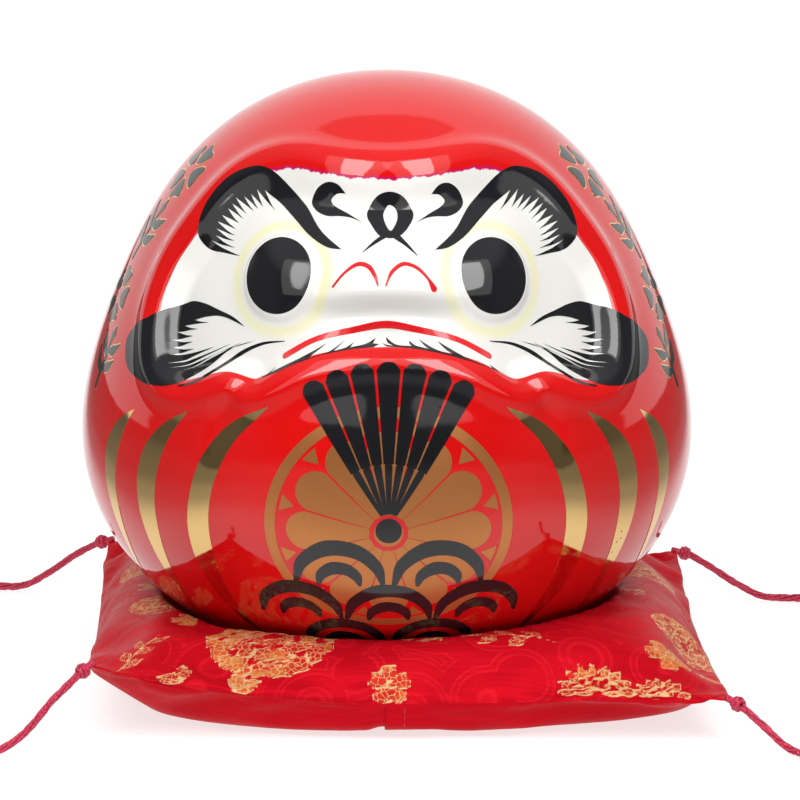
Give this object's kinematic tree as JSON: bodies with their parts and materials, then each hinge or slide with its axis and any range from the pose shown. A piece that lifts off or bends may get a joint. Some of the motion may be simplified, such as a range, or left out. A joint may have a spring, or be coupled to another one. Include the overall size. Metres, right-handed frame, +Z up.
{
  "type": "daruma doll",
  "caption": "Egg-shaped glazed ceramic lucky doll with a recessed bearded face, standing on a square tasselled brocade cushion that it lifts off.",
  "frame": {"origin": "on the floor under the cushion, on the doll's own vertical axis", "axes": "+Z up, the doll faces -Y, +X to the right of a viewer who faces the doll"},
  "size_m": [0.367, 0.3172, 0.2509],
  "materials": {
    "red_glaze": "mirror-gloss red glaze with a white face, black and gold decals and liquid-gold stripes",
    "soft_plug": "soft matt plug",
    "brocade": "red jacquard satin with woven peach-gold flowers",
    "satin": "plain red satin",
    "wadding": "loose white wadding",
    "thread": "twisted crimson thread"
  },
  "bodies": {
    "cushion": {"cushion_top_panel": "brocade", "cushion_filling": "wadding", "cushion_base_panel_left": "satin", "cushion_base_panel_right": "satin", "corner_knot_front_left": "thread", "corner_knot_front_right": "thread", "corner_knot_back_left": "thread", "corner_knot_back_right": "thread", "tassel_front_left": "thread", "tassel_front_right": "thread", "tassel_back_left": "thread", "tassel_back_right": "thread"},
    "doll": {"ceramic_body": "red_glaze"},
    "stopper": {"base_stopper": "soft_plug"}
  },
  "joints": [
    {"name": "doll_lift", "type": "slide", "parent": "cushion", "child": "doll", "axis": [0, 0, 1], "range_m": [0, 0.12]},
    {"name": "stopper_pull", "type": "slide", "parent": "doll", "child": "stopper", "axis": [0, 0, -1], "range_m": [0, 0.024]}
  ],
  "couplings": [
    {"joint": "stopper_pull", "follows": "doll_lift", "ratio": 0.2}
  ]
}
